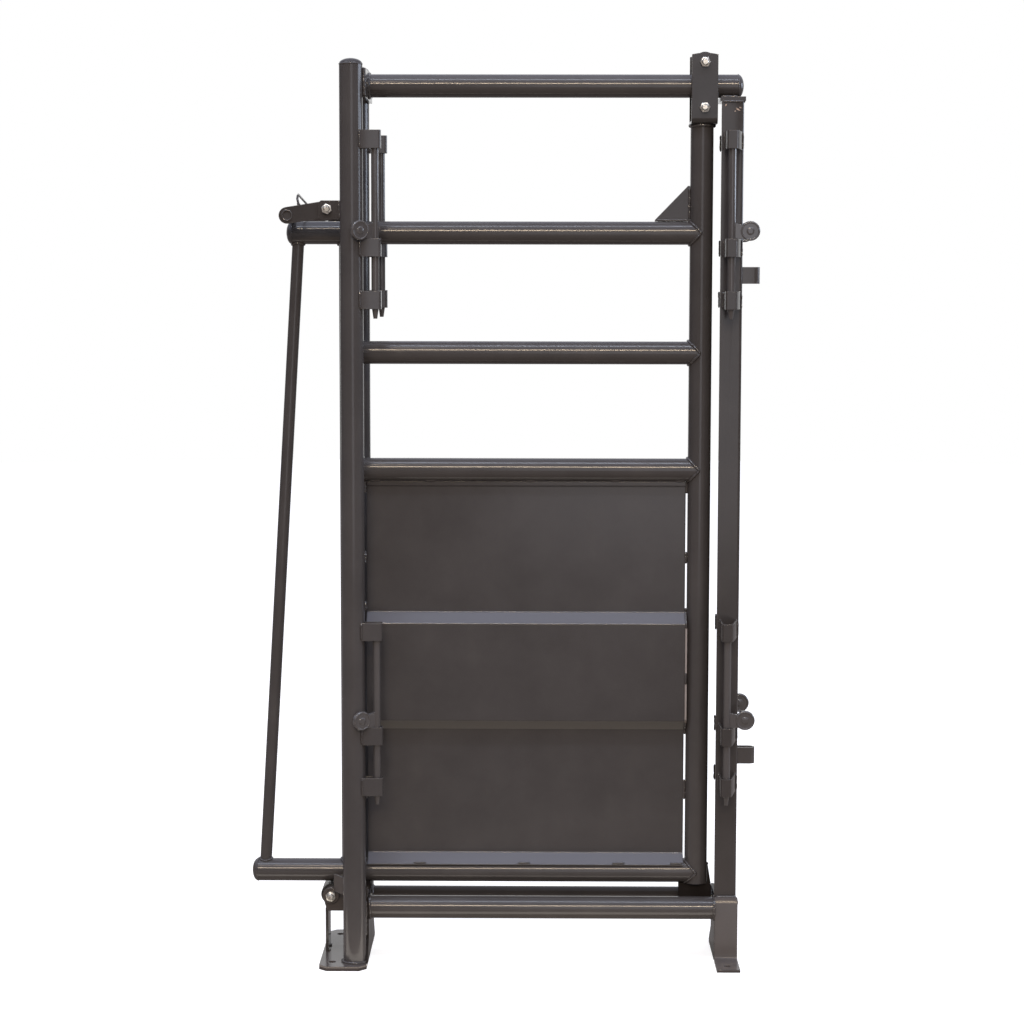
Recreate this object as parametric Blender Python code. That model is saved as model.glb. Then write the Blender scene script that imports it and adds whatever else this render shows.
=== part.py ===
# Livestock alley gate: a panel that slides sideways on rollers inside a fixed
# frame, with drop pins on the frame for the alley's side panels.
# Metres, +Z up. X runs along the gate, the front faces -Y, and the floor is Z = 0.

import math
import bpy
import bmesh
from mathutils import Vector

# Gap between neighbouring pieces
GAP = 0.0003

# Tubes: outer radii and walls
PIPE_R = 0.02415
PIPE_WALL = 0.0030
BRACE_R = 0.0125
BRACE_WALL = 0.0025
DOME_H = 0.0120

# Plates and straps
PLATE_T = 0.0060
BASE_T = 0.0095
CLIP_T = 0.0035
SHEET_T = 0.0030

# Fixed frame
POST_Y = 0.1013
POST_RISE = 0.0365
DRAIN_R = 0.0080
TOP_RAIL_Z = 1.8490
TOP_RAIL_END = 0.8000
TIE_H = 0.0590
BASE_LEFT = 0.0735
BASE_RIGHT = 0.0265
FOOT_HALF = 0.1465
BASE_CHAMFER = 0.0160
BASE_HOLE_X = -0.0470
BASE_HOLE_Y = 0.1090
BASE_HOLE_R = 0.0075
SLOT_RAIL_Z = 0.1116
SLOT_RAIL_Y = 0.0418
END_PLATE_T = 0.0040
END_PLATE_TOP = 0.1400
END_PLATE_HALF = 0.0830
END_PLATE_FOOT = 0.1170
END_PLATE_WAIST = 0.0530

# Right upright: a channel open towards the gate
UPRIGHT_LEFT = 0.7633
UPRIGHT_RIGHT = 0.8096
UPRIGHT_HALF = 0.0500
UPRIGHT_BEND = 0.0050
REAR_FLANGE_LEFT = 0.7725
CAP_PLATE_T = 0.0092
CAP_PLATE_LAP = 0.0018
CAP_PLATE_BACK = 0.0034
STOP_PLATE_TOP = 0.1440
STOP_PLATE_REAR = 0.0980
STOP_PLATE_KNEE = 0.0500
STRAP_LEFT = 0.7636
STRAP_RIGHT = 0.8124
STRAP_TOP = 0.1365
STRAP_LEG_Y = 0.0635
TOE_HOLE_Y = 0.1170
TOE_HOLE_R = 0.0065

# Lugs on the upright
LUG_REACH = 0.0404
LUG_H = 0.0350
LUG_HALF = 0.0125
LUG_T = 0.0040
LUG_Z = (1.4566, 0.4360)

# Drop pins and the clips that hold them
ROD_R = 0.0080
ROD_TIP_R = 0.0040
ROD_TAPER = 0.0260
ROD_TOP_DROP = 0.1040
ROD_BELOW_CLIP = 0.0197
PIN_Y = 0.1060
LEFT_PIN_X = 0.0490
RIGHT_PIN_X = (0.7818, 0.7880)
CLIP_H = 0.0375
CLIP_DROPS = (0.1157, 0.3361, 0.4439)
CLIP_PLAY = 0.0010
PIN_DROP = 1.0180
HAT_FRONT = 0.1193
KNOB_REACH = 0.0380
KNOB_R = 0.0204
KNOB_T = 0.0090
KNOB_DROP = 0.3015
KNOB_SWING = 36.0
NECK_H = 0.0300

# Sliding gate
GATE_X = 0.7263
LEAD_X = -0.0100
GATE_TOP_DROP = 0.3046
GATE_UPPER_STEP = 0.2507
GATE_MID_STEP = 0.4977
GATE_LOW_Z = 0.1818
TOP_TAIL_X = -0.1318
LOW_TAIL_X = -0.2145
BRACE_TOP_X = -0.1180
BRACE_LOW_X = -0.1992
GUSSET_L = 0.0730
GUSSET_H = 0.0740
SHEET_LEFT = 0.0225
SHEET_RIGHT = 0.6985
HEM_H = 0.0100
RIB_DEPTH = 0.0220
RIB_Z = (0.7420, 0.7200, 0.5125, 0.4910)
LIP_Z = (0.2210, 0.1990)
LIP_DEPTH = 0.0230

# Hanger, rollers and bolts
HANGER_X = 0.7290
HANGER_W = 0.0545
HANGER_IN = 0.0310
HANGER_BEND = 0.0090
HANGER_SINK = 0.0326
HANGER_RISE = 0.0160
HANGER_CROWN = 0.0032
ROLLER_R = 0.0220
ROLLER_PLAY = 0.0006
BOLT_R = 0.00635
BORE_PLAY = 0.0004
NUT_AF = 0.0190
NUT_H = 0.0109
HEAD_H = 0.0079
BOLT_TAIL = 0.0035

# Guide tongue in the slot
TONGUE_T = 0.0160
TONGUE_LEFT = 0.6895
TONGUE_RIGHT = 0.7535
TONGUE_BOTTOM = 0.0950
TONGUE_STOP_X = 0.7605
TONGUE_STOP_Z = 0.1460
FIN_TOP = 0.2000

# Lower roller and guides
LOW_ROLLER_X = -0.0550
BAR_X = -0.0647
BAR_TOP = 0.1050
BRACKET_LEFT = 0.0180
BRACKET_BOTTOM = 0.1007
BOSS_R = 0.0180
BOSS_H = 0.0080
TAB_TIP_X = -0.0455
TAB_TIP_Y = 0.0480
TAB_POST_X = -0.0160
TAB_POST_Y = 0.0910
TAB_Z = (0.1470, 0.1840)

# Latch
LATCH_X = -0.0503
LATCH_RISE = 0.0470
LATCH_ROD_X = -0.1331
LATCH_ROD_R = 0.0093
LATCH_ARM_R = 0.0172
ARM_Y = 0.0950
EAR_Y = 0.1013
EAR_LEFT = 0.0675
EAR_SPAN = (-0.0212, 0.0173)
EAR_CHAMFER = 0.0050
BAIL_R = 0.0025
BAIL_FOOT_X = -0.1090
BAIL_TOP = (-0.1120, -0.0700)
BAIL_RISE = 0.0303

# Worked out from the sizes above
side_x = PIPE_R + GAP
rail_left = side_x + PLATE_T + GAP
tail_left = LOW_TAIL_X - GAP - DOME_H
lug_right = UPRIGHT_RIGHT + LUG_REACH
centre_x = (lug_right + tail_left) / 2
post_top = TOP_RAIL_Z + POST_RISE
rod_top = TOP_RAIL_Z - ROD_TOP_DROP
clip_heights = [TOP_RAIL_Z - drop for drop in CLIP_DROPS]
knob_z = TOP_RAIL_Z - KNOB_DROP
gate_top_z = TOP_RAIL_Z - GATE_TOP_DROP
gate_upper_z = gate_top_z - GATE_UPPER_STEP
gate_mid_z = gate_top_z - GATE_MID_STEP
latch_z = gate_top_z + LATCH_RISE
axle_offset = PIPE_R + GAP + ROLLER_R
low_axle_z = GATE_LOW_Z - axle_offset
gate_bottom = GATE_LOW_Z - PIPE_R
hanger_base = TOP_RAIL_Z - axle_offset - HANGER_SINK
hanger_top = TOP_RAIL_Z + axle_offset + HANGER_RISE
rod_z = gate_top_z + PIPE_R + GAP + LATCH_ROD_R
hanger_out = HANGER_IN + PLATE_T

COAT = (0.052, 0.050, 0.048, 1.0)
ZINC = (0.62, 0.60, 0.55, 1.0)
NYLON = (0.030, 0.029, 0.028, 1.0)
FINISH = {"coat": (COAT, 0.42, 0.35), "zinc": (ZINC, 0.35, 0.9), "nylon": (NYLON, 0.5, 0.1)}


# Start from an empty scene
for old in list(bpy.data.objects):
    bpy.data.objects.remove(old, do_unlink=True)


def paint(name, finish):
    colour, rough, metal = FINISH[finish]
    mat = bpy.data.materials.new(name)
    mat.use_nodes = True
    shader = mat.node_tree.nodes["Principled BSDF"]
    shader.inputs["Base Color"].default_value = colour
    shader.inputs["Roughness"].default_value = rough
    shader.inputs["Metallic"].default_value = metal
    return mat


def link(name, mesh, at):
    obj = bpy.data.objects.new(name, mesh)
    bpy.context.scene.collection.objects.link(obj)
    obj.location = (at[0] - centre_x, at[1], at[2])
    return obj


def piece(name, bm, finish="coat", at=(0, 0, 0)):
    # A finished sub-part, its mesh given about the point it is placed at
    bmesh.ops.recalc_face_normals(bm, faces=bm.faces)
    mesh = bpy.data.meshes.new(name)
    bm.to_mesh(mesh)
    bm.free()
    mesh.materials.append(paint(name, finish))
    mesh.shade_smooth()
    mesh.set_sharp_from_angle(angle=math.radians(35))
    return link(name, mesh, at)


def helper(name, bm, at=(0, 0, 0)):
    # A cutter or an added shape that a Boolean reads
    bmesh.ops.recalc_face_normals(bm, faces=bm.faces)
    mesh = bpy.data.meshes.new(name)
    bm.to_mesh(mesh)
    bm.free()
    obj = link(name, mesh, at)
    obj.hide_render = True
    obj.display_type = 'WIRE'
    return obj


def boolean(obj, other, how="DIFFERENCE"):
    mod = obj.modifiers.new(other.name, 'BOOLEAN')
    mod.operation = how
    mod.solver = 'EXACT'
    mod.object = other
    return obj


def turned(profile, axis="Z", sides=32, at=(0, 0, 0), bm=None):
    # A solid turned about an axis from (radius, distance along the axis) pairs
    bm = bm or bmesh.new()
    rings = []
    for radius, along in profile:
        if radius <= 0:
            rings.append([bm.verts.new(spot(0, 0, along, axis, at))])
            continue
        ring = []
        for i in range(sides):
            turn = 2 * math.pi * i / sides
            ring.append(bm.verts.new(spot(radius * math.cos(turn), radius * math.sin(turn), along, axis, at)))
        rings.append(ring)
    for low, high in zip(rings, rings[1:]):
        for i in range(sides):
            j = (i + 1) % sides
            if len(low) == 1:
                bm.faces.new((low[0], high[j], high[i]))
            elif len(high) == 1:
                bm.faces.new((low[i], low[j], high[0]))
            else:
                bm.faces.new((low[i], low[j], high[j], high[i]))
    for ring in (rings[0], rings[-1]):
        if len(ring) > 1:
            bm.faces.new(ring)
    return bm


def spot(u, v, along, axis, at):
    point = {"X": (along, u, v), "Y": (u, along, v), "Z": (u, v, along)}[axis]
    return tuple(a + b for a, b in zip(point, at))


def pipe(radius, wall, start, end, axis="Z", sides=32, at=(0, 0, 0)):
    # A hollow pipe, open at both ends
    bm = bmesh.new()
    rings = []
    for r, along in ((radius, start), (radius, end), (radius - wall, end), (radius - wall, start)):
        rings.append([bm.verts.new(spot(r * math.cos(2 * math.pi * i / sides),
                                        r * math.sin(2 * math.pi * i / sides), along, axis, at))
                      for i in range(sides)])
    for a, b in zip(rings, rings[1:] + rings[:1]):
        for i in range(sides):
            j = (i + 1) % sides
            bm.faces.new((a[i], a[j], b[j], b[i]))
    return bm


def prism(outline, axis, start, end, bm=None):
    # A flat outline pushed straight along an axis
    bm = bm or bmesh.new()
    ends = []
    for along in (start, end):
        ends.append([bm.verts.new(spot(u, v, along, axis, (0, 0, 0))) for u, v in outline])
    count = len(outline)
    for i in range(count):
        j = (i + 1) % count
        bm.faces.new((ends[0][i], ends[0][j], ends[1][j], ends[1][i]))
    bm.faces.new(ends[0])
    bm.faces.new(ends[1])
    return bm


def block(x, y, z, bm=None):
    return prism([(x[0], y[0]), (x[1], y[0]), (x[1], y[1]), (x[0], y[1])], "Z", z[0], z[1], bm)


def arc(cx, cy, radius, first, last, steps):
    # Points on an arc, its angles in degrees
    points = []
    for i in range(steps + 1):
        turn = math.radians(first + (last - first) * i / steps)
        points.append((cx + radius * math.cos(turn), cy + radius * math.sin(turn)))
    return points


def dome(radius, height, axis, sign, sides=32, rings=6):
    # A cap with a flat back at 0 and a rounded crown
    profile = [(radius, 0.0)]
    for i in range(1, rings):
        turn = math.pi / 2 * i / rings
        profile.append((radius * math.cos(turn), sign * height * math.sin(turn)))
    profile.append((0.0, sign * height))
    return turned(profile, axis, sides)


def ribbon(path, thickness):
    # The outline of a strap of even thickness along a bent path
    left, right = [], []
    for i, point in enumerate(path):
        before = Vector(path[max(i - 1, 0)])
        after = Vector(path[min(i + 1, len(path) - 1)])
        here = Vector(point)
        first = (here - before).normalized() if i else (after - here).normalized()
        second = (after - here).normalized() if i < len(path) - 1 else first
        normal = Vector((-(first.y + second.y), first.x + second.x)).normalized()
        stretch = thickness / 2 / max(normal.dot(Vector((-first.y, first.x))), 0.5)
        left.append(tuple(here + normal * stretch))
        right.append(tuple(here - normal * stretch))
    return left + right[::-1]


def baked(name, base):
    # The mesh of an object with its modifiers worked in, for copies to share
    graph = bpy.context.evaluated_depsgraph_get()
    graph.update()
    mesh = bpy.data.meshes.new_from_object(base.evaluated_get(graph))
    mesh.name = name
    return mesh


# Posts with their clips

def left_clip_outline(side):
    # A U-shaped strap round the rod, its legs run into the post
    off = PIN_Y - POST_Y
    half = ROD_R + CLIP_PLAY + CLIP_T / 2
    bend = half * 0.32
    right = LEFT_PIN_X + half
    legs = [off + half, off - half]
    ends = [math.sqrt((PIPE_R - 0.0003) ** 2 - (abs(leg) + CLIP_T / 2) ** 2) for leg in legs]
    path = [(ends[0], legs[0])]
    path += arc(right - bend, legs[0] - bend, bend, 90, 0, 3)
    path += arc(right - bend, legs[1] + bend, bend, 0, -90, 3)
    path += [(ends[1], legs[1])]
    return [(u, side * (POST_Y + v)) for u, v in ribbon(path, CLIP_T)]


def right_clip_outline(side):
    # A deep hat-shaped strap on the upright's flange
    foot = UPRIGHT_HALF - 0.0010
    half = CLIP_T * 0.43
    crown = HAT_FRONT - half
    pin_x = RIGHT_PIN_X[side > 0]
    left = pin_x - ROD_R - CLIP_PLAY - half
    left_foot = UPRIGHT_LEFT + 0.0073 if side < 0 else REAR_FLANGE_LEFT + 0.0030
    right = pin_x + ROD_R + CLIP_PLAY * 1.5 + half
    path = [(left_foot, foot), (left, crown - 0.003), (left + 0.002, crown), (right - 0.003, crown),
            (right - 0.001, crown - 0.003), (UPRIGHT_RIGHT - 0.0046, foot)]
    return [(u, side * v) for u, v in ribbon(path, 2 * half)]


def clips(name, outlines):
    bm = bmesh.new()
    for outline in outlines:
        for z in [z - drop for drop in (0.0, PIN_DROP) for z in clip_heights]:
            prism(outline, "Z", z - CLIP_H / 2, z + CLIP_H / 2, bm)
    return helper(name, bm)


for side, word in ((-1, "front"), (1, "rear")):
    foot_z = BASE_T + GAP
    post = piece("post_" + word, pipe(PIPE_R, PIPE_WALL, foot_z, post_top, at=(0, side * POST_Y, 0)))
    boolean(post, clips("clips_" + word, [left_clip_outline(side)]), "UNION")
    drain = turned([(DRAIN_R, -PIPE_R * 1.2), (DRAIN_R, -PIPE_R * 0.4)], "X", 16, at=(0, side * POST_Y, foot_z))
    boolean(post, helper("drain_" + word, drain))
    piece("cap_post_" + word, dome(PIPE_R, DOME_H, "Z", 1), at=(0, side * POST_Y, post_top + GAP))

tie_z = TOP_RAIL_Z - 0.0005
piece("post_tie_plate", block((side_x, side_x + PLATE_T), (-POST_Y, POST_Y),
                              (tie_z - TIE_H / 2, tie_z + TIE_H / 2)))


# Top rail and the right upright

piece("top_rail", pipe(PIPE_R, PIPE_WALL, rail_left, TOP_RAIL_END, "X", at=(0, 0, TOP_RAIL_Z)))
piece("cap_top_rail", dome(PIPE_R, DOME_H, "X", 1), at=(TOP_RAIL_END + GAP, 0, TOP_RAIL_Z))

cap_top = TOP_RAIL_Z - PIPE_R - GAP
cap_bottom = cap_top - CAP_PLATE_T
piece("upright_cap_plate", block((UPRIGHT_LEFT - CAP_PLATE_LAP, UPRIGHT_RIGHT + CAP_PLATE_BACK),
                                 (-UPRIGHT_HALF, UPRIGHT_HALF), (cap_bottom, cap_top)))


def channel_outline():
    front, rear, bend = -UPRIGHT_HALF, UPRIGHT_HALF, UPRIGHT_BEND
    web = UPRIGHT_RIGHT - PLATE_T
    points = [(UPRIGHT_LEFT, front)]
    points += arc(UPRIGHT_RIGHT - bend, front + bend, bend, -90, 0, 3)
    points += arc(UPRIGHT_RIGHT - bend, rear - bend, bend, 0, 90, 3)
    points += [(REAR_FLANGE_LEFT, rear), (REAR_FLANGE_LEFT, rear - PLATE_T), (web, rear - PLATE_T),
               (web, front + PLATE_T), (UPRIGHT_LEFT, front + PLATE_T)]
    return points


upright = piece("upright_right", prism(channel_outline(), "Z", 0.0, cap_bottom - GAP))
boolean(upright, clips("clips_right", [right_clip_outline(-1), right_clip_outline(1)]), "UNION")


def lug_outline():
    # A strap bent into a loop, its ends on the upright's web
    half = LUG_HALF - LUG_T / 2
    left = UPRIGHT_RIGHT + GAP
    right = lug_right - LUG_T / 2
    path = [(left, -half)]
    path += arc(right - half, 0, half, -90, 90, 10)
    return ribbon(path + [(left, half)], LUG_T)


for z, word in zip(LUG_Z, ("upper", "lower")):
    piece("lug_" + word, prism(lug_outline(), "Z", z - LUG_H / 2, z + LUG_H / 2))


# Feet, slot rails and end plates

def chamfered(x0, x1, half, cut):
    return [(x0 + cut, -half), (x1 - cut, -half), (x1, cut - half), (x1, half - cut),
            (x1 - cut, half), (x0 + cut, half), (x0, half - cut), (x0, cut - half)]


base = piece("base_plate", prism(chamfered(-BASE_LEFT, BASE_RIGHT, FOOT_HALF, BASE_CHAMFER), "Z", 0.0, BASE_T))
for side in (-1, 1):
    hole = turned([(BASE_HOLE_R, -0.01), (BASE_HOLE_R, 0.03)], "Z", 20, at=(BASE_HOLE_X, side * BASE_HOLE_Y, 0))
    boolean(base, helper("base_hole", hole))


def left_end_outline():
    right = [(END_PLATE_FOOT, BASE_T + GAP), (END_PLATE_HALF, END_PLATE_WAIST), (END_PLATE_HALF, END_PLATE_TOP)]
    return right + [(-u, v) for u, v in right[::-1]]


def stop_outline():
    inner = UPRIGHT_HALF - PLATE_T - GAP
    return [(-inner, 0.0), (STOP_PLATE_REAR, 0.0), (STOP_PLATE_REAR, PLATE_T), (inner, STOP_PLATE_KNEE),
            (inner, STOP_PLATE_TOP), (-inner, STOP_PLATE_TOP)]


piece("end_plate_left", prism(left_end_outline(), "X", side_x, side_x + END_PLATE_T))
piece("end_plate_right", prism(stop_outline(), "X", UPRIGHT_LEFT, UPRIGHT_LEFT + PLATE_T))
for side, word in ((-1, "front"), (1, "rear")):
    rail = pipe(PIPE_R, PIPE_WALL, side_x + END_PLATE_T + GAP, UPRIGHT_LEFT - GAP, "X",
                at=(0, side * SLOT_RAIL_Y, SLOT_RAIL_Z))
    piece("bottom_rail_" + word, rail)


def strap_outline():
    # The bent foot seen from the side: leaning top, leg, toe
    half = PLATE_T / 2
    leg = -(STRAP_LEG_Y - half)
    bend = PLATE_T * 1.4
    path = [(-UPRIGHT_HALF - half, STRAP_TOP), (leg, STRAP_TOP - 0.0125)]
    path += arc(leg - bend, half + bend, bend, 0, -90, 4)
    return ribbon(path + [(-FOOT_HALF, half)], PLATE_T)


strap = piece("foot_strap_right", prism(strap_outline(), "X", STRAP_LEFT, STRAP_RIGHT))
toe_x = (STRAP_LEFT + STRAP_RIGHT) / 2
hole = turned([(TOE_HOLE_R, -0.01), (TOE_HOLE_R, 0.03)], "Z", 16, at=(toe_x, -TOE_HOLE_Y, 0))
boolean(strap, helper("toe_hole", hole))


# Bolts and rollers

def hexagon(flats):
    return arc(0, 0, flats / math.sqrt(3), 30, 330, 5)


def bolt(name, grip, at, turn=1):
    # Shank, head and nut as one fastened bolt; the nut faces the front
    tail = grip / 2 + NUT_H + BOLT_TAIL
    base = helper(name + "_shank", turned([(BOLT_R * 0.7, -tail), (BOLT_R, -tail + 0.0015),
                                           (BOLT_R, grip / 2 + 0.002)], "Y", 16))
    ends = prism(hexagon(NUT_AF), "Y", -grip / 2 - NUT_H, -grip / 2)
    prism(hexagon(NUT_AF), "Y", grip / 2, grip / 2 + HEAD_H, ends)
    boolean(base, helper(name + "_ends", ends), "UNION")
    mesh = baked(name, base)
    mesh.materials.clear()
    mesh.materials.append(paint(name, "zinc"))
    obj = link(name, mesh, at)
    if turn < 0:
        obj.rotation_euler = (0, 0, math.pi)


def bore(name, obj, x, z):
    hole = turned([(BOLT_R + BORE_PLAY, -0.2), (BOLT_R + BORE_PLAY, 0.2)], "Y", 20, at=(x, 0, z))
    return boolean(obj, helper(name, hole))


def roller(name, at):
    inner = BOLT_R + BORE_PLAY
    half = HANGER_IN - ROLLER_PLAY
    piece(name, pipe(ROLLER_R, ROLLER_R - inner, -half, half, "Y", 28), "nylon", at)


# Lower roller on its bar, between two bracket plates

piece("roller_bar", block((BAR_X - PLATE_T / 2, BAR_X + PLATE_T / 2), (GAP - HANGER_IN, HANGER_IN - GAP),
                          (BASE_T + GAP, BAR_TOP)))


def bracket_outline():
    x, z, r = LOW_ROLLER_X, low_axle_z, BRACKET_LEFT
    points = arc(x, z, r, 70, 190, 9)
    points += [(x - r * 0.55, BRACKET_BOTTOM + 0.003), (x - r * 0.35, BRACKET_BOTTOM),
               (side_x - 2 * GAP - 0.005, BRACKET_BOTTOM), (side_x - 2 * GAP, BRACKET_BOTTOM + 0.005),
               (side_x - 2 * GAP, z + r * 0.9)]
    return points


for side, word in ((-1, "front"), (1, "rear")):
    inner, outer = sorted((side * HANGER_IN, side * hanger_out))
    plate = piece("roller_bracket_" + word, prism(bracket_outline(), "Y", inner, outer))
    lift = side * hanger_out
    boss = turned([(BOSS_R, lift - side * 0.002), (BOSS_R, lift + side * (BOSS_H - 0.0015)),
                   (BOSS_R - 0.0015, lift + side * BOSS_H)], "Y", 24, at=(LOW_ROLLER_X, 0, low_axle_z))
    boolean(plate, helper("boss_" + word, boss), "UNION")
    bore("bracket_bore_" + word, plate, LOW_ROLLER_X, low_axle_z)
    # A wing plate from the post to just clear of the gate's low rail
    path = [(TAB_TIP_X, side * (TAB_TIP_Y + GAP)), (TAB_POST_X, side * TAB_POST_Y)]
    tab = piece("guide_tab_" + word, prism(ribbon(path, PLATE_T), "Z", TAB_Z[0], TAB_Z[1]))
    cut = turned([(PIPE_R + GAP, 0.0), (PIPE_R + GAP, 0.3)], "Z", 32, at=(0, side * POST_Y, 0))
    boolean(tab, helper("tab_cut_" + word, cut))

roller("roller_lower", (LOW_ROLLER_X, 0, low_axle_z))
bolt("roller_bolt_lower", 2 * (hanger_out + BOSS_H + GAP), (LOW_ROLLER_X, 0, low_axle_z))


# Sliding gate

def cross_cutter(name, axis, at, half):
    return helper(name, turned([(PIPE_R + GAP, -half), (PIPE_R + GAP, half)], axis, 32, at=at))


piece("gate_tube_right", pipe(PIPE_R, PIPE_WALL, gate_bottom, hanger_base - GAP, at=(GATE_X, 0, 0)))
right_cut = cross_cutter("cut_tube_right", "Z", (GATE_X, 0, 0), TOP_RAIL_Z)
lead_cut = cross_cutter("cut_lead_tube", "Z", (LEAD_X, 0, 0), TOP_RAIL_Z)
for name, z, left in (("gate_rail_top", gate_top_z, TOP_TAIL_X), ("gate_rail_upper", gate_upper_z, LEAD_X),
                      ("gate_rail_middle", gate_mid_z, LEAD_X), ("gate_rail_low", GATE_LOW_Z, LOW_TAIL_X)):
    rail = piece(name, pipe(PIPE_R, PIPE_WALL, left, GATE_X, "X", at=(0, 0, z)))
    boolean(rail, right_cut)
    if left == LEAD_X:
        boolean(rail, lead_cut)
    else:
        piece(name.replace("gate", "cap_gate"), dome(PIPE_R, DOME_H, "X", -1), at=(left - GAP, 0, z))

top_cut = cross_cutter("cut_rail_top", "X", (LEAD_X, 0, gate_top_z), 0.3)
low_cut = cross_cutter("cut_rail_low", "X", (LEAD_X, 0, GATE_LOW_Z), 0.3)
lap = PIPE_R * 0.05
lead = piece("gate_tube_left", pipe(PIPE_R, PIPE_WALL, GATE_LOW_Z + lap, gate_top_z - lap, at=(LEAD_X, 0, 0)))
boolean(lead, top_cut)
boolean(lead, low_cut)

brace_run = Vector((BRACE_LOW_X - BRACE_TOP_X, 0, GATE_LOW_Z - gate_top_z))
brace = piece("gate_brace", pipe(BRACE_R, BRACE_WALL, PIPE_R * 0.5, brace_run.length - PIPE_R * 0.5, sides=24),
              at=(BRACE_TOP_X, 0, gate_top_z))
brace.rotation_euler = brace_run.to_track_quat('Z', 'Y').to_euler()
boolean(brace, top_cut)
boolean(brace, low_cut)

corner_x = GATE_X - PIPE_R - GAP
corner_z = gate_top_z + PIPE_R + GAP
gusset = [(corner_x, corner_z), (corner_x, corner_z + GUSSET_H), (corner_x - 0.004, corner_z + GUSSET_H),
          (corner_x - GUSSET_L, corner_z + 0.003), (corner_x - GUSSET_L, corner_z)]
piece("gate_gusset", prism(gusset, "Y", -PLATE_T / 2, PLATE_T / 2))


# Ribbed sheet below the middle rail

def sheet_outline():
    # Seen from the side: a hem, a raised panel, and a lip on the low rail
    half = SHEET_T / 2
    top = gate_mid_z - PIPE_R - GAP
    path = [(-half, top - HEM_H), (-half, RIB_Z[0]), (-half - RIB_DEPTH, RIB_Z[1]), (-half - RIB_DEPTH, RIB_Z[2]),
            (-half, RIB_Z[3]), (-half, LIP_Z[0]), (-half - LIP_DEPTH, LIP_Z[1])]
    strip = ribbon(path, SHEET_T)
    rear, front = strip[:len(path)], strip[len(path):]
    if rear[0][0] < front[-1][0]:
        rear, front = front[::-1], rear[::-1]
    return [(0.0, top)] + rear + front + [(-2 * SHEET_T, top - HEM_H), (-2 * SHEET_T, top)]


sheet = piece("gate_sheet", prism(sheet_outline(), "X", SHEET_LEFT, SHEET_RIGHT))
low_clear = cross_cutter("sheet_low_cut", "X", (GATE_X / 2, 0, GATE_LOW_Z), 0.5)
boolean(sheet, low_clear)


# Hanger with its two rollers, and the tongue in the slot

def hanger_outline():
    # A strap bent into a U, seen from the side
    mid = HANGER_IN + PLATE_T / 2
    base = hanger_base + PLATE_T / 2
    path = [(-mid, hanger_top + HANGER_CROWN)]
    path += arc(-mid + HANGER_BEND, base + HANGER_BEND, HANGER_BEND, 180, 270, 4)
    return ribbon(path + [(-u, v) for u, v in path[::-1]], PLATE_T)


def crown_outline():
    # What is cut off above the strap's slightly crowned ends
    half, rise = HANGER_W / 2, HANGER_CROWN
    reach = (half * half + rise * rise) / (2 * rise)
    spread = math.degrees(math.asin(half / reach))
    points = arc(HANGER_X, hanger_top + rise - reach, reach, 90 - spread, 90 + spread, 8)
    points[0] = (points[0][0] + GAP, points[0][1])
    points[-1] = (points[-1][0] - GAP, points[-1][1])
    return points + [(HANGER_X - half - GAP, hanger_top + 4 * rise), (HANGER_X + half + GAP, hanger_top + 4 * rise)]


hanger = piece("hanger_bracket", prism(hanger_outline(), "X", HANGER_X - HANGER_W / 2, HANGER_X + HANGER_W / 2))
boolean(hanger, helper("hanger_crown", prism(crown_outline(), "Y", -0.06, 0.06)))
for word, z in (("upper", TOP_RAIL_Z + axle_offset), ("lower", TOP_RAIL_Z - axle_offset)):
    bore("hanger_bore_" + word, hanger, HANGER_X, z)
    roller("hanger_roller_" + word, (HANGER_X, 0, z))
    bolt("hanger_bolt_" + word, 2 * (hanger_out + GAP), (HANGER_X, 0, z))

tube_side = GATE_X + PIPE_R + GAP
tongue = [(TONGUE_LEFT, TONGUE_BOTTOM), (TONGUE_RIGHT, TONGUE_BOTTOM), (TONGUE_STOP_X, TONGUE_STOP_Z),
          (tube_side + 0.001, FIN_TOP), (tube_side, FIN_TOP), (tube_side, gate_bottom - GAP),
          (TONGUE_LEFT, gate_bottom - GAP)]
piece("guide_tongue", prism(tongue, "Y", -TONGUE_T / 2, TONGUE_T / 2))


# Latch: two arms joined by a rod that lies on the gate's top rail

arm_run = Vector((LATCH_ROD_X - LATCH_X, rod_z - latch_z))
arm_lean = math.degrees(math.atan2(arm_run.y, arm_run.x))


def arm_outline():
    # A bar round at both ends, drawn about the pivot
    far = arc(arm_run.x, arm_run.y, LATCH_ARM_R, arm_lean - 90, arm_lean + 90, 10)
    near = arc(0, 0, LATCH_ARM_R, arm_lean + 90, arm_lean + 270, 10)
    return far + near


def ear_outline():
    left, right = -EAR_LEFT, -side_x
    low, high = latch_z + EAR_SPAN[0], latch_z + EAR_SPAN[1]
    points = [(right, low), (right, high), (left + EAR_CHAMFER, high), (left, high - EAR_CHAMFER)]
    return points + arc(left + EAR_CHAMFER, low + EAR_CHAMFER, EAR_CHAMFER, 180, 270, 4)


rod_half = ARM_Y + PLATE_T / 2
for side, word in ((-1, "front"), (1, "rear")):
    half = PLATE_T / 2
    ear = piece("latch_ear_" + word, prism(ear_outline(), "Y", side * EAR_Y - half, side * EAR_Y + half))
    bore("ear_bore_" + word, ear, LATCH_X, latch_z)
    arm = piece("latch_arm_" + word, prism(arm_outline(), "Y", side * ARM_Y - half, side * ARM_Y + half),
                at=(LATCH_X, 0, latch_z))
    bore("arm_bore_" + word, arm, LATCH_X, latch_z)
    seat = turned([(LATCH_ROD_R + GAP, -0.2), (LATCH_ROD_R + GAP, 0.2)], "Y", 20, at=(LATCH_ROD_X, 0, rod_z))
    boolean(arm, helper("arm_seat_" + word, seat))
    grip = EAR_Y - ARM_Y + PLATE_T + 2 * GAP
    bolt("latch_bolt_" + word, grip, (LATCH_X, side * (EAR_Y + ARM_Y) / 2, latch_z), -side)

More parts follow.
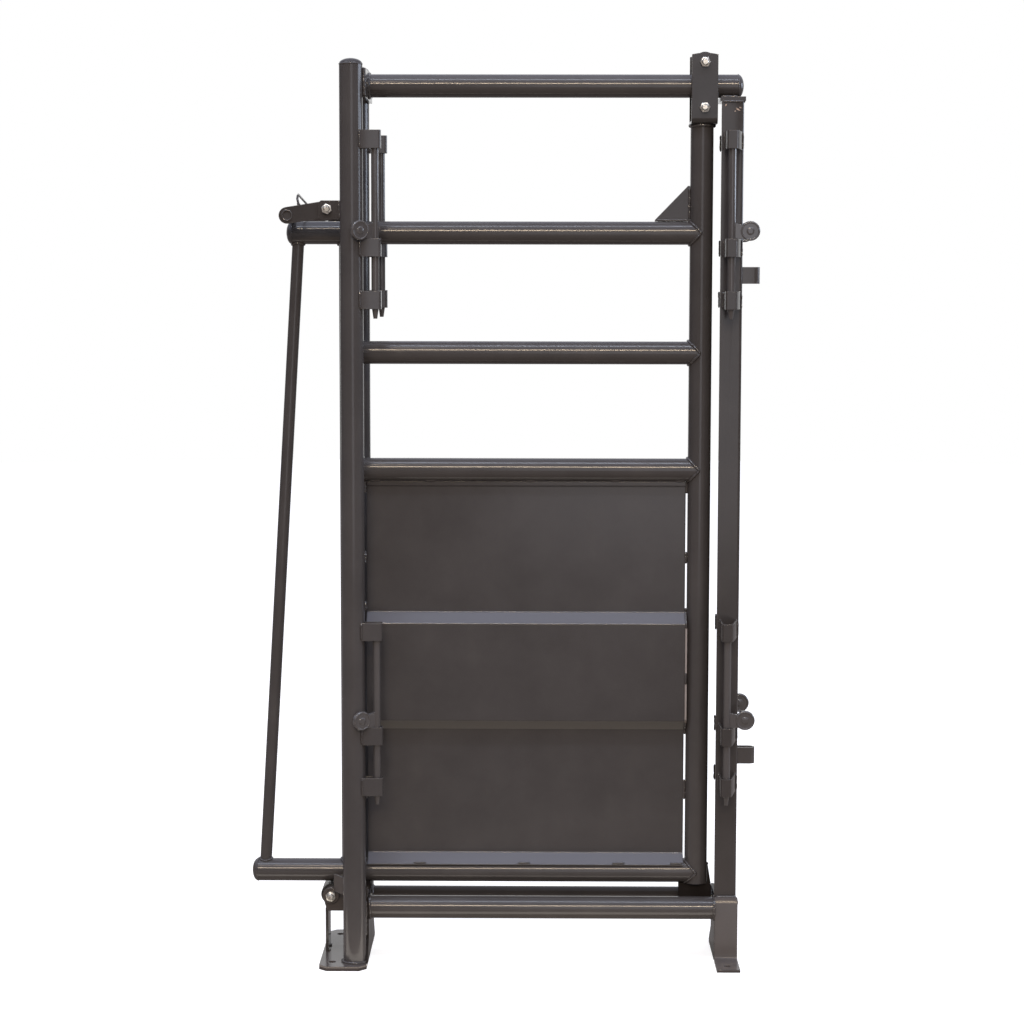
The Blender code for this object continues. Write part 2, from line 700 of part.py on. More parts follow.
piece("latch_rod", turned([(LATCH_ROD_R, -rod_half), (LATCH_ROD_R, rod_half)], "Y", 24,
                          at=(arm_run.x, 0, arm_run.y)), at=(LATCH_X, 0, latch_z))


def arm_top(x):
    run = (x - LATCH_X) / arm_run.x
    return latch_z + run * arm_run.y + LATCH_ARM_R / math.cos(math.radians(180 - arm_lean))


def bail_points():
    # A pull wire from the front arm up and back to the rear arm
    low = arm_top(BAIL_FOOT_X) + GAP
    front = (BAIL_FOOT_X, -ARM_Y, low)
    rear_x = BAIL_FOOT_X + 0.0026
    rear = (rear_x, ARM_Y, arm_top(rear_x) + BAIL_R + 2 * GAP)
    top = Vector((*BAIL_TOP, latch_z + BAIL_RISE))
    away = (Vector(rear) - top).normalized()
    knee = Vector((BAIL_FOOT_X - 0.003, -ARM_Y + 0.004, low + 0.0125))
    points = [Vector(front), Vector(front) + Vector((-0.0010, 0.0006, 0.0050)), knee,
              knee + Vector((0.0005, 0.0055, 0.0065)), top + away * 0.002, Vector(rear)]
    return [tuple(point - Vector((LATCH_X, 0, latch_z))) for point in points]


def wire(name, points, radius, sides, at):
    # A round wire swept along a run of points
    bm = bmesh.new()
    rings = []
    for i, point in enumerate(points):
        here = Vector(point)
        first = (here - Vector(points[max(i - 1, 0)])).normalized()
        second = (Vector(points[min(i + 1, len(points) - 1)]) - here).normalized()
        along = (first + second).normalized()
        across = along.cross(Vector((1, 0, 0))).normalized()
        third = along.cross(across)
        rings.append([bm.verts.new(here + across * radius * math.cos(2 * math.pi * k / sides)
                                   + third * radius * math.sin(2 * math.pi * k / sides)) for k in range(sides)])
    for a, b in zip(rings, rings[1:]):
        for i in range(sides):
            j = (i + 1) % sides
            bm.faces.new((a[i], a[j], b[j], b[i]))
    bm.faces.new(rings[0])
    bm.faces.new(rings[-1])
    return piece(name, bm, at=at)


wire("latch_bail", bail_points(), BAIL_R, 10, (LATCH_X, 0, latch_z))


# Drop pins: a rod with a tapered tip and a paddle handle that ends in a knob

def pin_mesh():
    # Drawn about the rod's axis, with Z = 0 on top of the middle clip
    clip_top = clip_heights[1] + CLIP_H / 2
    top = rod_top - clip_top
    tip = clip_heights[2] - CLIP_H / 2 - ROD_BELOW_CLIP - clip_top
    rod = helper("pin_rod", turned([(ROD_TIP_R, tip), (ROD_R, tip + ROD_TAPER), (ROD_R, top - 0.001),
                                    (ROD_R - 0.001, top)], "Z", 14))
    middle = knob_z - clip_top
    knob = turned([(KNOB_R - 0.0015, -KNOB_T / 2), (KNOB_R, -KNOB_T / 2 + 0.0015), (KNOB_R, KNOB_T / 2 - 0.0015),
                   (KNOB_R - 0.0015, KNOB_T / 2)], "Y", 20, at=(KNOB_REACH, 0, middle))
    neck = [(0.0, GAP), (KNOB_REACH - KNOB_R * 0.6, GAP), (KNOB_REACH, middle - 0.008),
            (KNOB_REACH, middle + 0.008), (KNOB_REACH - KNOB_R * 0.7, GAP + NECK_H - 0.003),
            (ROD_R * 1.4, GAP + NECK_H), (0.0, GAP + NECK_H + 0.004)]
    web = helper("pin_neck", prism(neck, "Y", -KNOB_T / 2 + 0.001, KNOB_T / 2 - 0.001))
    boolean(rod, web, "UNION")
    boolean(rod, helper("pin_knob", knob), "UNION")
    mesh = baked("drop_pin", rod)
    mesh.materials.clear()
    mesh.materials.append(paint("drop_pin", "coat"))
    return mesh, clip_top


shared_pin, pin_z = pin_mesh()
for drop, height in ((0.0, "upper"), (PIN_DROP, "lower")):
    for side, word in ((-1, "front"), (1, "rear")):
        left_pin = link("pin_" + word + "_left_" + height, shared_pin, (LEFT_PIN_X, side * PIN_Y, pin_z - drop))
        left_pin.rotation_euler = (0, 0, math.radians(180 - side * KNOB_SWING))
        link("pin_" + word + "_right_" + height, shared_pin, (RIGHT_PIN_X[side > 0], side * PIN_Y, pin_z - drop))
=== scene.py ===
import bpy
import bmesh
import math
import random
from mathutils import Matrix, Vector, noise


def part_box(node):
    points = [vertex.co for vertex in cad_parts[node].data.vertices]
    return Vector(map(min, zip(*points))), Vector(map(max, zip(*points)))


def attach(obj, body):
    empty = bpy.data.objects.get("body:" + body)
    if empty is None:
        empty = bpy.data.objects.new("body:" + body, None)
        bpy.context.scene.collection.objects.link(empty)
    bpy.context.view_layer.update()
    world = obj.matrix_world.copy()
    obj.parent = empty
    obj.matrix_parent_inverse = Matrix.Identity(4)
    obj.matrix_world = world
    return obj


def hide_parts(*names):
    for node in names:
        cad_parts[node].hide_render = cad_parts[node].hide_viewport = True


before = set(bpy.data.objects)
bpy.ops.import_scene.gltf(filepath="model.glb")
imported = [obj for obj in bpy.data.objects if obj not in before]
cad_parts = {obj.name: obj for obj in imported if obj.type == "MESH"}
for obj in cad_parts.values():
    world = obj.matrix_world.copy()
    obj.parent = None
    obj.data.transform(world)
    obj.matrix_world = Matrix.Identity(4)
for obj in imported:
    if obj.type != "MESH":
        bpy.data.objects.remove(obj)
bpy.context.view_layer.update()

random.seed(41)

# Sizes that several pieces share, in metres
centreX = 0.3116  # the left posts' axis is this far left of the origin
pipeR = 0.02415
gap = 0.0003  # left open between solids that are welded together
trackZ = 1.8490  # axis of the top rail
gate = {
    "rightX": 0.7263, "leftX": -0.0100, "sheetLeft": 0.0225, "sheetRight": 0.6985,
    "topZ": 1.5444, "upperZ": 1.2937, "middleZ": 1.0467, "lowZ": 0.1818, "weld": 0.0030,
}
bothSides = (-1, 1)  # front and rear, or left and right


def at(x, y, z):
    # Every x in this file is measured from the left posts' axis
    return Vector((x - centreX, y, z))


def turns(count):
    return [2 * math.pi * i / count for i in range(count)]


# A socket that adds a Math node for each sum, difference or product
class Value:
    def __init__(self, net, socket):
        self.net = net
        self.socket = socket

    def maths(self, operation, other, flipped=False):
        first, second = (other, self) if flipped else (self, other)
        return self.net.make("ShaderNodeMath", {"operation": operation}, {0: first, 1: second})

    def __add__(self, other): return self.maths("ADD", other)
    def __radd__(self, other): return self.maths("ADD", other, True)
    def __sub__(self, other): return self.maths("SUBTRACT", other)
    def __rsub__(self, other): return self.maths("SUBTRACT", other, True)
    def __mul__(self, other): return self.maths("MULTIPLY", other)
    def __rmul__(self, other): return self.maths("MULTIPLY", other, True)


class Shader:
    def __init__(self, owner):
        owner.use_nodes = True
        self.tree = owner.node_tree
        self.tree.nodes.clear()

    def make(self, kind, settings=None, values=None, out=0):
        node = self.tree.nodes.new(kind)
        for key, value in (settings or {}).items():
            if key == "stops":
                ramp = node.color_ramp
                while len(ramp.elements) < len(value):
                    ramp.elements.new(0.5)
                for element, (place, colour) in zip(ramp.elements, value):
                    element.position = place
                    element.color = (*colour, 1)
            else:
                setattr(node, key, value)
        for key, value in (values or {}).items():
            socket = node.inputs[key]
            if isinstance(value, Value):
                self.tree.links.new(value.socket, socket)
            else:
                socket.default_value = value
        return Value(self, node.outputs[out]) if node.outputs else None

    def objectPlace(self):
        return self.make("ShaderNodeTexCoord", out=3)

    def stretched(self, where, scale):
        return self.make("ShaderNodeMapping", {}, {"Vector": where, "Scale": scale})

    def noise(self, where, scale, detail=3.0, rough=0.5):
        return self.make("ShaderNodeTexNoise", {}, {
            "Vector": where, "Scale": scale, "Detail": detail, "Roughness": rough})

    def ramp(self, value, stops):
        return self.make("ShaderNodeValToRGB", {"stops": stops}, {"Fac": value})

    def span(self, value, low, high, start=0.0, end=1.0):
        return self.make("ShaderNodeMapRange", {}, {
            "Value": value, "From Min": low, "From Max": high, "To Min": start, "To Max": end})

    def blendColour(self, share, first, second):
        return self.make("ShaderNodeMix", {"data_type": "RGBA"}, {
            0: share, 6: first, 7: (*second, 1)}, out=2)

    def roundedEdge(self, radius):
        return self.make("ShaderNodeBevel", {"samples": 4}, {"Radius": radius})

    def bump(self, height, distance, normal=None):
        values = {"Height": height, "Distance": distance, "Strength": 1.0}
        if normal:
            values["Normal"] = normal
        return self.make("ShaderNodeBump", {}, values)

    def finish(self, shader, kind="ShaderNodeOutputMaterial"):
        self.make(kind, {}, {"Surface": shader})


coatLook = {
    "dark": (0.0440, 0.0402, 0.0388), "light": (0.0620, 0.0568, 0.0548),
    # The colour for cut edges on the next line is a painted highlight
    "dust": (0.105, 0.092, 0.080), "paintedEdgeLight": (0.210, 0.185, 0.160),
    # The upward and downward colours are painted light for folded faces
    "upward": (0.142, 0.142, 0.160), "downward": (0.165, 0.156, 0.142),
    "roughLow": 0.13, "roughHigh": 0.19, "dustRough": 0.3,
    "cloud": 9.0, "grain": 1900.0, "peel": 620.0, "streak": (30.0, 30.0, 4.0),  # scales
    "colourMix": (0.55, 0.45), "roughMix": (0.6, 0.4),  # shares of cloud and grain
    "peelDepth": 0.000011, "bumpMix": (0.8, 2.0, 0.06),  # shares of peel, cloud and grain
    "streakSpan": (0.56, 0.80), "patchSpan": (0.40, 0.70), "paintedEdgeSpan": (0.97, 0.80),
    "upwardSpan": (0.25, 0.6), "downwardSpan": (-0.15, -0.4),
}


def powderCoat(name, tint=1.0, peelGain=1.0, edge=0.0012, dustGain=0.25, warm=1.0, shine=0.4,
               gloss=1.0, foldPaintedLight=0.0, edgeHighlight=0.0):
    material = bpy.data.materials.new(name)
    net = Shader(material)
    where = net.objectPlace()
    cloud = net.noise(where, coatLook["cloud"], 4.0, 0.55)
    grain = net.noise(where, coatLook["grain"], 2.0, 0.6)
    peel = net.noise(where, coatLook["peel"], 1.5, 0.45)
    streak = net.noise(net.stretched(where, coatLook["streak"]), 1.0)
    hue = (tint, tint * warm, tint * warm * warm)
    dark = [c * h for c, h in zip(coatLook["dark"], hue)]
    light = [c * h for c, h in zip(coatLook["light"], hue)]
    clouded, grained = coatLook["colourMix"]
    colour = net.ramp(cloud * clouded + grain * grained, [(0.32, dark), (0.68, light)])
    patch = net.span(cloud, *coatLook["patchSpan"])
    dust = net.span(streak, *coatLook["streakSpan"]) * patch * dustGain
    colour = net.blendColour(dust, colour, coatLook["dust"])
    if foldPaintedLight:
        # Painted light on folded flanges: faces that look up get a lighter bluish tint, a painted
        # reflection of the sky, and faces that look down a lighter grey tint, painted light
        # bounced from below
        normal = net.make("ShaderNodeNewGeometry", out=1)
        facing = net.make("ShaderNodeSeparateXYZ", {}, {0: normal}, out=2)
        for way in ("upward", "downward"):
            share = net.span(facing, *coatLook[way + "Span"]) * foldPaintedLight
            colour = net.blendColour(share, colour, coatLook[way])
    clouded, grained = coatLook["roughMix"]
    rough = net.span(cloud * clouded + grain * grained, 0.3, 0.7,
                     coatLook["roughLow"] * gloss, coatLook["roughHigh"] * gloss)
    rounded = net.roundedEdge(edge) if edge else None
    if edgeHighlight:
        # Painted highlight on cut edges: a lighter warm colour where the rounded normal leaves the
        # face's own
        flat = net.make("ShaderNodeNewGeometry", out=3)
        turned = net.make("ShaderNodeVectorMath", {"operation": "DOT_PRODUCT"},
                          {0: rounded, 1: flat}, out=1)
        colour = net.blendColour(net.span(turned, *coatLook["paintedEdgeSpan"]) * edgeHighlight,
                                 colour, coatLook["paintedEdgeLight"])
    peeled, clouded, grained = coatLook["bumpMix"]
    height = peel * peeled + cloud * clouded + grain * grained
    net.finish(net.make("ShaderNodeBsdfPrincipled", {}, {
        "Base Color": colour, "Roughness": rough + dust * coatLook["dustRough"],
        "Specular IOR Level": shine,
        "Normal": net.bump(height, coatLook["peelDepth"] * peelGain, rounded)}))
    return material


zincLook = {
    "low": (0.42, 0.39, 0.33), "high": (0.86, 0.84, 0.78), "stain": (0.25, 0.17, 0.08),
    "stainShare": 0.35, "stainSpan": (0.62, 0.78), "patch": 260.0,
    "scratch": (900.0, 900.0, 120.0), "roughLow": 0.20, "roughHigh": 0.42,
    "metal": 0.92, "depth": 0.00008, "edge": 0.0006,
}


def zincPlate(name):
    material = bpy.data.materials.new(name)
    net = Shader(material)
    where = net.objectPlace()
    patch = net.noise(where, zincLook["patch"])
    scratch = net.noise(net.stretched(where, zincLook["scratch"]), 1.0, 2.0)
    base = net.ramp(patch * 0.6 + scratch * 0.4,
                    [(0.3, zincLook["low"]), (0.62, zincLook["high"])])
    stain = net.span(patch, *zincLook["stainSpan"]) * zincLook["stainShare"]
    net.finish(net.make("ShaderNodeBsdfPrincipled", {}, {
        "Base Color": net.blendColour(stain, base, zincLook["stain"]),
        "Metallic": zincLook["metal"],
        "Roughness": net.span(patch, 0.3, 0.7, zincLook["roughLow"], zincLook["roughHigh"]),
        "Normal": net.bump(scratch * 0.5 + patch, zincLook["depth"],
                           net.roundedEdge(zincLook["edge"]))}))
    return material


nylonLook = {
    "dark": (0.016, 0.015, 0.014), "light": (0.034, 0.032, 0.030), "spot": 340.0,
    "turning": 420.0, "wander": 1.5, "roughLow": 0.16, "roughHigh": 0.30, "depth": 0.00006,
}


def rollerNylon(name):
    material = bpy.data.materials.new(name)
    net = Shader(material)
    where = net.objectPlace()
    ring = net.make("ShaderNodeTexWave", {"wave_type": "BANDS", "bands_direction": "Y"}, {
        "Vector": where, "Scale": nylonLook["turning"], "Distortion": nylonLook["wander"]})
    spot = net.noise(where, nylonLook["spot"])
    net.finish(net.make("ShaderNodeBsdfPrincipled", {}, {
        "Base Color": net.ramp(spot, [(0.35, nylonLook["dark"]), (0.7, nylonLook["light"])]),
        "Roughness": net.span(spot, 0.3, 0.7, nylonLook["roughLow"], nylonLook["roughHigh"]),
        "Normal": net.bump(ring * 0.5 + spot * 0.5, nylonLook["depth"])}))
    return material


bareLook = {
    "dark": (0.30, 0.19, 0.13), "light": (0.66, 0.52, 0.42), "spot": 700.0,
    "roughLow": 0.35, "roughHigh": 0.6, "depth": 0.0001,
}


def bareMetal(name):
    material = bpy.data.materials.new(name)
    net = Shader(material)
    spot = net.noise(net.objectPlace(), bareLook["spot"])
    net.finish(net.make("ShaderNodeBsdfPrincipled", {}, {
        "Base Color": net.ramp(spot, [(0.35, bareLook["dark"]), (0.62, bareLook["light"])]),
        "Roughness": net.span(spot, 0.3, 0.7, bareLook["roughLow"], bareLook["roughHigh"]),
        "Normal": net.bump(spot, bareLook["depth"])}))
    return material


# Lighter and darker copies of the one powder coat: each part's tint is painted light and shade,
# matched to how the lamps fall on it
tubeCoat = powderCoat("coatOnTube", tint=1.30, edge=0.0, warm=0.985)
postCoat = powderCoat("coatOnPost", tint=1.40, edge=0.0020, edgeHighlight=0.55)
plateCoat = powderCoat("coatOnPlate", tint=0.86, edge=0.0022, warm=0.965, edgeHighlight=0.45)
uprightCoat = powderCoat("coatOnUpright", tint=1.06, edge=0.0022, warm=0.965, edgeHighlight=0.45)
# A darker, duller copy of the coat: painted shade on the rear bottom rail
rearRailShadeCoat = powderCoat("coatOnLowRailPaintedShade", tint=0.95, edge=0.0, warm=0.97, shine=0.12)
domeCoat = powderCoat("coatOnDome", edge=0.0, shine=0.22, gloss=0.7)
# A dark copy of the coat: painted shade on the end plate and the guide tongue
paintedShadeCoat = powderCoat("coatInPaintedShade", tint=0.42, edge=0.0, warm=0.90, shine=0.04, dustGain=0.05)
bracketCoat = powderCoat("coatOnBracket", tint=1.45, edge=0.0022, warm=0.93, shine=0.3)
lugCoat = powderCoat("coatOnLug", tint=1.40, edge=0.0020, warm=0.98, shine=0.55, edgeHighlight=0.6)
sheetCoat = powderCoat("coatOnSheet", tint=1.24, peelGain=1.3, edge=0.0040, dustGain=0.15,
                       foldPaintedLight=0.72)
# Many times lighter than the coat: a painted highlight for the sheet's end strip
stripHighlightCoat = powderCoat("coatOnStripPaintedHighlight", tint=7.4, edge=0.0, dustGain=0.0, warm=0.97)
bendCoat = powderCoat("coatOnBend", tint=1.24, peelGain=0.8, edge=0.0, dustGain=0.0, foldPaintedLight=0.72,
                      shine=0.6)
footCoat = powderCoat("coatOnFoot", tint=1.75, edge=0.0026, dustGain=0.5, warm=0.945, shine=0.22)
weldCoat = powderCoat("coatOnWeld", tint=1.20, peelGain=3.0, edge=0.0, dustGain=0.1, warm=0.96,
                      shine=0.65, gloss=0.6)
castCoat = powderCoat("coatOnCasting", tint=1.60, peelGain=2.6, shine=0.8, gloss=0.8, edgeHighlight=0.5)
zinc = zincPlate("zincPlate")
nylon = rollerNylon("rollerNylon")
bare = bareMetal("bareMetal")
print("finishes made")

# Each solid takes the first finish whose list holds a start of its name
solidFinishes = (
    (zinc, ("hanger_bolt", "roller_bolt", "latch_bolt")),
    (nylon, ("hanger_roller", "roller_lower")),
    (sheetCoat, ("gate_sheet",)),
    (castCoat, ("pin_",)),
    (footCoat, ("base_plate", "foot_strap")),
    (paintedShadeCoat, ("end_plate", "guide_tongue")),
    (bracketCoat, ("roller_bracket", "guide_tab")),
    (lugCoat, ("lug_",)),
    (postCoat, ("post_front", "post_rear")),
    (uprightCoat, ("upright_right", "gate_gusset", "latch_arm", "latch_ear")),
    (rearRailShadeCoat, ("bottom_rail_rear",)),
    (domeCoat, ("cap_post",)),
    (plateCoat, ("post_tie_plate", "upright_cap_plate", "hanger_bracket", "roller_bar")),
    (tubeCoat, ("",)),
)
roundAngle = 32.0  # faces that meet at less than this, in degrees, are shaded as one


def roundShading(mesh):
    # Round faces get shared normals for shading; every point stays where it is
    mesh.shade_smooth()
    corners = {}
    for face in mesh.polygons:
        loops = list(face.loop_indices)
        spots = [mesh.vertices[mesh.loops[loop].vertex_index].co for loop in loops]
        for i, loop in enumerate(loops):
            one, two = spots[i - 1] - spots[i], spots[(i + 1) % len(spots)] - spots[i]
            place = tuple(round(c, 5) for c in spots[i])
            corners.setdefault(place, []).append((loop, face.normal.copy(), one.angle(two, 0.0)))
    limit = math.cos(math.radians(roundAngle))
    normals = [None] * len(mesh.loops)
    for group in corners.values():
        for loop, normal, _ in group:
            near = (other * width for _, other, width in group if normal.dot(other) > limit)
            total = sum(near, Vector())
            normals[loop] = total.normalized() if total.length > 1e-9 else normal
    mesh.normals_split_custom_set(normals)


for name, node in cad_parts.items():
    roundShading(node.data)
    node.data.materials.clear()
    node.data.materials.append(next(look for look, starts in solidFinishes
                                    if name.startswith(starts)))
print("solids finished")


def addPiece(name, bm, body, material, sharp=40.0):
    bmesh.ops.recalc_face_normals(bm, faces=bm.faces)
    mesh = bpy.data.meshes.new(name)
    bm.to_mesh(mesh)
    bm.free()
    mesh.materials.append(material)
    mesh.shade_smooth()
    mesh.set_sharp_from_angle(angle=math.radians(sharp))
    obj = bpy.data.objects.new(name, mesh)
    bpy.context.scene.collection.objects.link(obj)
    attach(obj, body)
    return obj


def skin(bm, rings, looped=False):
    # Joins rings of points into a tube, with an end face at each end or turned back on itself
    made = [[bm.verts.new(place) for place in ring] for ring in rings]
    for a, b in zip(made, made[1:] + (made[:1] if looped else [])):
        for k in range(len(a)):
            j = (k + 1) % len(a)
            bm.faces.new((a[k], a[j], b[j], b[k]))
    if not looped:
        bm.faces.new(made[0])
        bm.faces.new(made[-1])


weldLook = {
    "sides": 8, "step": 0.0011, "closedStep": 1.6,
    "lump": 0.30, "lumpsPerMetre": 180, "ripple": 0.0036, "rippleHeight": 0.09,
    "drift": 0.18, "driftsPerMetre": 120, "endSize": 0.35, "endRings": 3,
}
weldLean = Vector((0.31, 0.22, 0.92))  # along no weld, so that every bead has a side


def bead(bm, points, radius, closed=False):
    # One run of weld: a lumpy, rippled tube along a path
    points = points + points[:1] if closed else points
    lengths = [0.0]
    for a, b in zip(points, points[1:]):
        lengths.append(lengths[-1] + (b - a).length)
    total = lengths[-1]
    steps = max(6, int(total / weldLook["step"] / (weldLook["closedStep"] if closed else 1.0)))
    path = []
    spot = 0
    for i in range(steps if closed else steps + 1):
        run = total * i / steps
        while spot < len(points) - 2 and lengths[spot + 1] < run:
            spot += 1
        part = (run - lengths[spot]) / max(lengths[spot + 1] - lengths[spot], 1e-9)
        path.append((points[spot].lerp(points[spot + 1], part), run))
    rings = []
    count = len(path)
    seed = random.random() * 50
    for i, (place, run) in enumerate(path):
        before = path[i - 1][0] if (i or closed) else place
        after = path[(i + 1) % count][0] if (i < count - 1 or closed) else place
        along = (after - before).normalized()
        across = along.cross(weldLean).normalized()
        third = along.cross(across)
        lump = noise.noise(Vector((seed, run * weldLook["lumpsPerMetre"], 0))) * weldLook["lump"]
        ripple = weldLook["rippleHeight"] * math.cos(2 * math.pi * run / weldLook["ripple"])
        size = radius * (1 + (lump + ripple))
        if not closed:
            ending = min(min(i, count - 1 - i) / weldLook["endRings"], 1.0)
            size *= weldLook["endSize"] + (1 - weldLook["endSize"]) * math.sqrt(ending)
        drifted = run * weldLook["driftsPerMetre"]
        shift = Vector((noise.noise(Vector((seed, 9, drifted))),
                        noise.noise(Vector((seed, 19, drifted))), 0)) * radius * weldLook["drift"]
        rings.append([place + shift + (across * math.cos(t) + third * math.sin(t)) * size
                      for t in turns(weldLook["sides"])])
    skin(bm, rings, closed)


def welds(name, body, runs, material=weldCoat):
    bm = bmesh.new()
    for run in runs:
        bead(bm, *run)
    addPiece(name, bm, body, material, sharp=70.0)


def straight(paths, sides=(1,)):
    # Open runs from listed points, each with its radius; sides (-1, 1) draws them front and rear
    return [([at(x, side * y, z) for x, y, z in points], radius)
            for side in sides for points, radius in paths.values()]


def ringX(x, y, z, r, count=40):
    return [at(x, y + r * math.sin(t), z + r * math.cos(t)) for t in turns(count)]


def ringY(x, y, z, r, count=28):
    return [at(x + r * math.cos(t), y, z + r * math.sin(t)) for t in turns(count)]


def ringZ(x, y, z, r, count=40):
    return [at(x + r * math.sin(t), y + r * math.cos(t), z) for t in turns(count)]


weldRise = 0.0008  # a weld's middle stands this far off the tube's skin
weldSwell = 1.03  # and its ring is this much wider than the tube


def saddle(tubeX, side, z, count=44):
    # Where a level tube's end meets the side of an upright tube
    points = []
    for t in turns(count):
        y, up = pipeR * math.sin(t), pipeR * math.cos(t)
        out = math.sqrt(max(pipeR ** 2 - y ** 2, 0)) + weldRise
        points.append(at(tubeX + side * out, y * weldSwell, z + up * weldSwell))
    return points


def footing(x, side, z, r=pipeR, count=44, swell=weldSwell, lean=0.0):
    # Where an upright tube's end meets the top or the underside of a level tube
    points = []
    for t in turns(count):
        across, y = r * math.cos(t), r * math.sin(t)
        drop = math.sqrt(max(pipeR ** 2 - y ** 2, 0))
        points.append(at(x + side * lean * drop + across * swell, y * swell,
                         z + side * (drop + weldRise)))
    return points


welds("weldsGateFrame", "sliding_gate", [
    (points, gate["weld"], True) for points in
    [saddle(gate["rightX"], -1, gate[z]) for z in ("topZ", "upperZ", "middleZ", "lowZ")]
    + [saddle(gate["leftX"], 1, gate[z]) for z in ("upperZ", "middleZ")]
    + [footing(gate["leftX"], -1, gate["topZ"]), footing(gate["leftX"], 1, gate["lowZ"])]])

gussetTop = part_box("gate_gusset")[1][2]
tail = {
    "braceTopX": -0.1180, "braceLowX": -0.1992, "braceWeld": 0.0026,
    "brace": {"r": 0.0125, "count": 28, "swell": 1.04, "lean": 0.0596},
    "topCapX": -0.1320, "lowCapX": -0.2147, "capR": pipeR - 0.0006, "capWeld": 0.0016,
    "gusset": {
        "upright": ([(0.7005, 0.0040, 1.574), (0.7005, 0.0040, gussetTop - 0.004)], 0.0026),
        "rail": ([(0.6985, 0.0040, 1.5712), (0.6330, 0.0040, 1.5712)], 0.0026)},
    "tongue": {"edge": ([(0.7060, 0.0105, 0.1580), (0.7490, 0.0105, 0.1580)], 0.0028)},
    "corner": {"end": ([(0.7515, 0.0, 0.2000), (0.7509, -0.0050, 0.1976)], 0.0026)},
}
braceEnds = [footing(tail["braceTopX"], -1, gate["topZ"], **tail["brace"]),
             footing(tail["braceLowX"], 1, gate["lowZ"], **tail["brace"])]
railCaps = [ringX(tail["topCapX"], 0, gate["topZ"], tail["capR"]),
            ringX(tail["lowCapX"], 0, gate["lowZ"], tail["capR"])]
welds("weldsGateTail", "sliding_gate",
      [(points, tail["braceWeld"], True) for points in braceEnds]
      + [(points, tail["capWeld"], True) for points in railCaps]
      + straight(tail["gusset"], bothSides) + straight(tail["tongue"], bothSides)
      + straight(tail["corner"]))

hanger = {"z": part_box("hanger_bracket")[0][2] - 0.0024, "r": pipeR + 0.0002, "weld": 0.0040}
welds("weldsHanger", "sliding_gate",
      [(ringZ(gate["rightX"], 0, hanger["z"], hanger["r"]), hanger["weld"], True)])
print("gate welds made")


sheet = {  # each stitch or fillet runs between two ends, placed from its own x
    "hem": {"xs": (0.040, 0.1565, 0.369, 0.550, 0.686), "weld": 0.0030,
            "ends": ((-0.011, -0.0066, 1.0240), (0.011, -0.0070, 1.0243))},
    "seam": {"xs": (0.0235, 0.2480, 0.4730), "weld": 0.0016,
             "ends": ((0.0, -0.0040, 1.0229), (0.2245, -0.0040, 1.0229))},
    "lip": {"xs": (0.135, 0.358, 0.560, 0.684), "weld": 0.0020,
            "ends": ((-0.014, -0.0254, 0.2038), (0.013, -0.0250, 0.2042))},
    "rightX": 0.7003, "rightWeld": 0.0027,
    "right": (  # depths and heights along each fill between the sheet and the right tube
        ((-0.0020, 1.0240), (-0.0020, 0.9966)), ((-0.0020, 0.8724), (-0.0020, 0.8473)),
        ((-0.0020, 0.7522), (-0.0030, 0.7420), (-0.0238, 0.7206), (-0.0238, 0.7109)),
        ((-0.0238, 0.6160), (-0.0238, 0.5909)),
        ((-0.0180, 0.5052), (-0.0030, 0.4904), (-0.0020, 0.4799)),
        ((-0.0020, 0.3815), (-0.0020, 0.3387))),
    "leftX": 0.0183, "leftY": -0.0015, "leftWeld": 0.0047,
    "left": ((1.0240, 0.9966), (0.8724, 0.8473), (0.7650, 0.7440), (0.4860, 0.4610),
             (0.3815, 0.3387)),
}


def stitches(row):
    return [([at(x + along, y, z) for along, y, z in row["ends"]], row["weld"])
            for x in row["xs"]]


# Stitches along the hem, a thin fillet of coat that closes its seam, and the side fills
welds("weldsSheet", "sliding_gate", stitches(sheet["hem"]) + stitches(sheet["seam"])
      + [([at(sheet["rightX"], y, z) for y, z in path], sheet["rightWeld"])
         for path in sheet["right"]]
      + [([at(sheet["leftX"], sheet["leftY"], z) for z in path], sheet["leftWeld"])
         for path in sheet["left"]])
# The lip's stitches take the sheet's coat and so its painted light on up-facing faces
welds("weldsLip", "sliding_gate", stitches(sheet["lip"]), sheetCoat)

# The sheet's bends are round: a smooth roll along each fold, sunk into the sheet
bend = {
    "sides": 32, "inset": 0.0004,
    "rolls": ((-0.00124, 0.74189, 0.0025), (-0.02144, 0.71915, 0.0040),
              (-0.00124, 0.22091, 0.0025)),  # y, z and radius
}
bm = bmesh.new()
for y, z, r in bend["rolls"]:
    skin(bm, [[at(x, y + r * math.cos(t), z + r * math.sin(t)) for t in turns(bend["sides"])]
              for x in (gate["sheetLeft"] + bend["inset"], gate["sheetRight"] - bend["inset"])])
addPiece("sheetBends", bm, "sliding_gate", bendCoat)

# A strip closes the raised panel's right end and joins it to the tube; its very light coat is a
# painted highlight
strip = {
    "left": 0.6984, "right": 0.7026,
    "profile": ((-0.0236, 0.7170), (-0.0236, 0.5150), (0.0, 0.4930), (0.0, 0.7390)),
}
bm = bmesh.new()
skin(bm, [[at(x, y, z) for y, z in strip["profile"]] for x in (strip["left"], strip["right"])])
addPiece("sheetEndStrip", bm, "sliding_gate", stripHighlightCoat)
print("sheet dressed")


